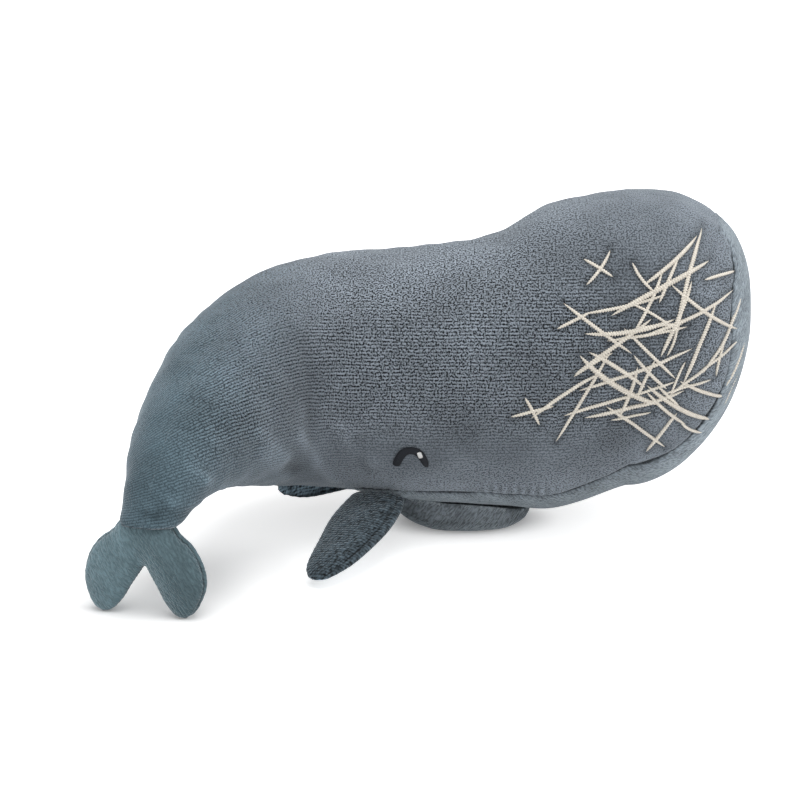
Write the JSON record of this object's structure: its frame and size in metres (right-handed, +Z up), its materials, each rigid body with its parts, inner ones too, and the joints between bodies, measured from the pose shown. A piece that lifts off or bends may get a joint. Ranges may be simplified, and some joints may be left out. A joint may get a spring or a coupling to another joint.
{
  "type": "plush whale",
  "caption": "Stuffed sperm-whale soft toy resting on its lower jaw, with sewn velour panels, soft fins and flukes, a curled tail and embroidered closed eyes.",
  "frame": {"origin": "on the floor, at the middle of the flat patch under the lower jaw", "axes": "+X to the head, +Y to the whale's left, +Z up"},
  "size_m": [0.3215, 0.1867, 0.1703],
  "materials": {
    "slate_velour": "short-pile velour, slate grey",
    "sea_grey_velour": "short-pile velour, blue-green grey",
    "pale_velour": "short-pile velour, paler grey",
    "dark_velour": "short-pile velour, dark slate",
    "polyester_fill": "loose white polyester fibre",
    "black_thread": "satin-stitched black embroidery thread",
    "white_thread": "satin-stitched white embroidery thread"
  },
  "bodies": {
    "trunk": {"side_panel_right": "slate_velour", "side_panel_left": "slate_velour", "face_gusset": "pale_velour", "belly_gusset": "pale_velour", "body_stuffing": "polyester_fill", "head_stuffing": "polyester_fill", "eye_right": "black_thread", "eye_left": "black_thread", "eye_glint_right": "white_thread", "eye_glint_left": "white_thread"},
    "jaw": {"jaw_under_panel": "pale_velour", "jaw_roof_panel": "pale_velour", "jaw_stuffing": "polyester_fill"},
    "right_fin": {"right_fin_top_panel": "dark_velour", "right_fin_under_panel": "dark_velour", "right_fin_stuffing": "polyester_fill"},
    "left_fin": {"left_fin_top_panel": "dark_velour", "left_fin_under_panel": "dark_velour", "left_fin_stuffing": "polyester_fill"},
    "tail": {"tail_panel_right": "sea_grey_velour", "tail_panel_left": "sea_grey_velour", "tail_stuffing": "polyester_fill"},
    "flukes": {"fluke_top_panel": "sea_grey_velour", "fluke_under_panel": "sea_grey_velour", "fluke_stuffing": "polyester_fill"}
  },
  "joints": [
    {"name": "tail_swing", "type": "hinge", "parent": "trunk", "child": "tail", "pos_m": [-0.11869, -0.04368, 0.07211], "axis": [0, 0, 1], "range_deg": [-35, 15], "stiffness_Nm_per_rad": 0.5},
    {"name": "fluke_flap", "type": "hinge", "parent": "tail", "child": "flukes", "pos_m": [-0.15099, -0.112, 0.03998], "axis": [-0.9703, 0.2419, 0], "range_deg": [-25, 25], "stiffness_Nm_per_rad": 0.1},
    {"name": "jaw_open", "type": "hinge", "parent": "trunk", "child": "jaw", "pos_m": [-0.03763, 0, 0.01782], "axis": [0, 1, 0], "range_deg": [0, 15], "stiffness_Nm_per_rad": 0.2},
    {"name": "right_fin_swing", "type": "hinge", "parent": "trunk", "child": "right_fin", "pos_m": [-0.04522, -0.04175, 0.0267], "axis": [-0.9475, 0.3082, -0.085], "range_deg": [-97, 23], "stiffness_Nm_per_rad": 0.02},
    {"name": "left_fin_swing", "type": "hinge", "parent": "trunk", "child": "left_fin", "pos_m": [-0.04435, 0.04217, 0.0267], "axis": [0.9499, 0.2999, 0.0885], "range_deg": [-3, 143], "stiffness_Nm_per_rad": 0.02}
  ]
}
